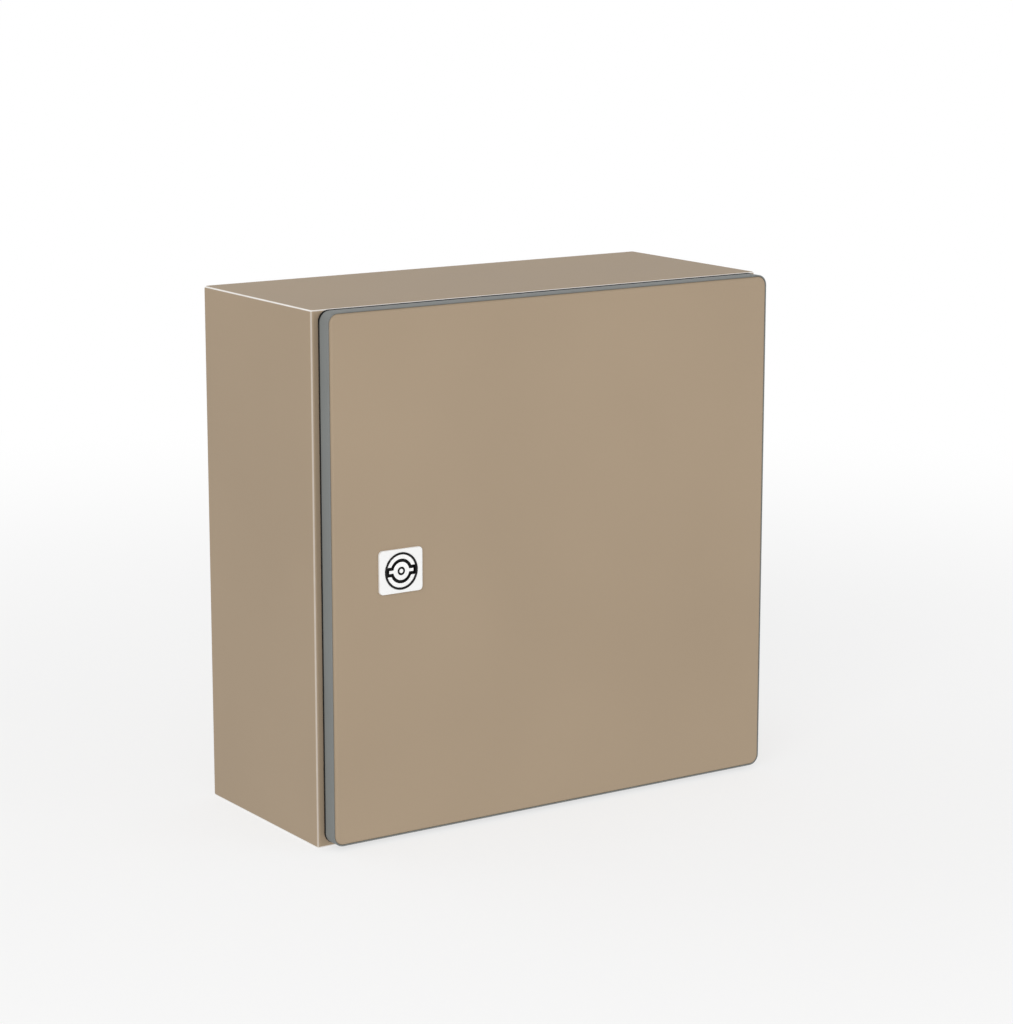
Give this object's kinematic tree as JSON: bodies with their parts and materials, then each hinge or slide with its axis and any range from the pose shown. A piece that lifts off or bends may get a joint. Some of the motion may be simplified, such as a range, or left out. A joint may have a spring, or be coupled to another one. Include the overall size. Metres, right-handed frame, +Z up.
{
  "type": "wall-mounted utility cabinet",
  "caption": "Sheet-steel wall cabinet with a folded body, a hinged door with edge trim and gasket, a quarter-turn lock, a mounting plate and a closed cable entry.",
  "frame": {"origin": "on the wall face, in the middle of the four wall-fixing holes", "axes": "+X to the right seen from the front, +Y into the wall, +Z up; the door faces -Y"},
  "size_m": [0.5097, 0.2229, 0.5],
  "materials": {
    "powder_coat": "fine-textured beige powder coat",
    "trim_grey": "satin grey edge profile",
    "sponge_black": "matt black sponge rubber",
    "foam": "matt grey foam",
    "lock_white": "satin white",
    "lock_black": "matt black",
    "nickel": "satin nickel plate",
    "zinc": "zinc plate",
    "galvanised": "galvanised sheet",
    "brass": "plain brass"
  },
  "bodies": {
    "cabinet": {"body_shell": "powder_coat", "rear_panel": "powder_coat", "plate_studs": "zinc", "mounting_plate": "galvanised", "plate_nuts": "zinc", "gland_gasket": "foam", "gland_plate": "galvanised", "gland_studs": "zinc", "gland_nuts": "zinc", "earth_stud": "brass", "earth_nut": "brass", "hinge_frame_leaf_upper": "zinc", "hinge_frame_leaf_lower": "zinc", "hinge_frame_screws": "zinc", "hinge_pin_upper": "zinc", "hinge_pin_lower": "zinc"},
    "door": {"door_panel": "powder_coat", "door_edge_trim": "trim_grey", "door_edge_lip": "sponge_black", "door_gasket": "foam", "door_rail_left": "powder_coat", "door_rail_right": "powder_coat", "hinge_door_leaf_upper": "zinc", "hinge_door_leaf_lower": "zinc", "hinge_door_studs": "zinc", "hinge_door_nuts": "zinc", "door_earth_stud": "brass", "door_earth_nut": "brass", "lock_escutcheon": "lock_white", "lock_housing": "lock_black", "lock_seal": "sponge_black", "lock_screws": "zinc"},
    "lock": {"lock_core": "nickel", "lock_o_ring": "sponge_black", "lock_cam": "zinc", "cam_washer": "zinc", "cam_bolt": "zinc"}
  },
  "joints": [
    {"name": "door_swing", "type": "hinge", "parent": "cabinet", "child": "door", "pos_m": [0.2552, -0.2013, 0], "axis": [0, 0, 1], "range_deg": [0, 180]},
    {"name": "lock_turn", "type": "hinge", "parent": "door", "child": "lock", "pos_m": [-0.17125, -0.2, 0.007], "axis": [0, 1, 0], "range_deg": [0, 90]}
  ]
}
